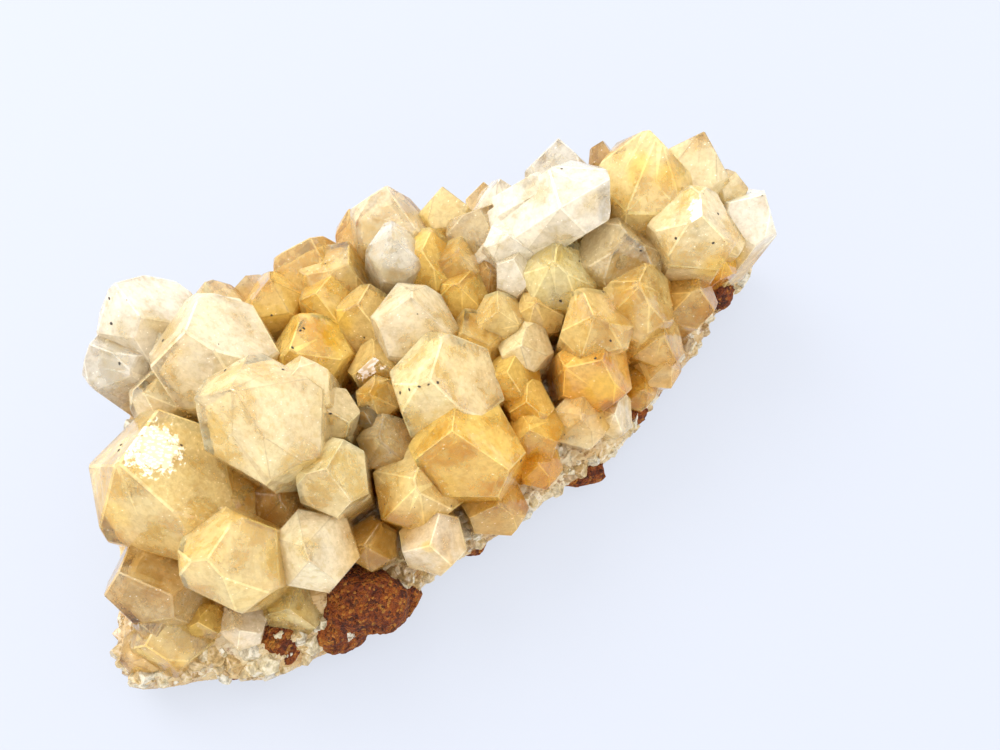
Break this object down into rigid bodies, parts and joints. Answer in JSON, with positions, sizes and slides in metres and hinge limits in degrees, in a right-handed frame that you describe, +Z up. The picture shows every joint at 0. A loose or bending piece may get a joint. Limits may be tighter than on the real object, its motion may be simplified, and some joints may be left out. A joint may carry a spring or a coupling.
{
  "type": "golden healer quartz cluster",
  "caption": "Natural cluster of squat golden quartz points grown together on a crust of massive quartz, lying on its iron-stained matrix as a display specimen.",
  "frame": {"origin": "on the ground, in the middle of the specimen's length and width", "axes": "+X along the specimen towards its narrow end, +Y across it towards its thick back edge, +Z up"},
  "size_m": [0.1776, 0.0916, 0.0621],
  "materials": {
    "golden_quartz": "polished",
    "iron_stained_rock": "rough"
  },
  "bodies": {
    "root": {"quartz_cluster": "golden_quartz", "rusty_matrix": "iron_stained_rock"}
  },
  "joints": []
}
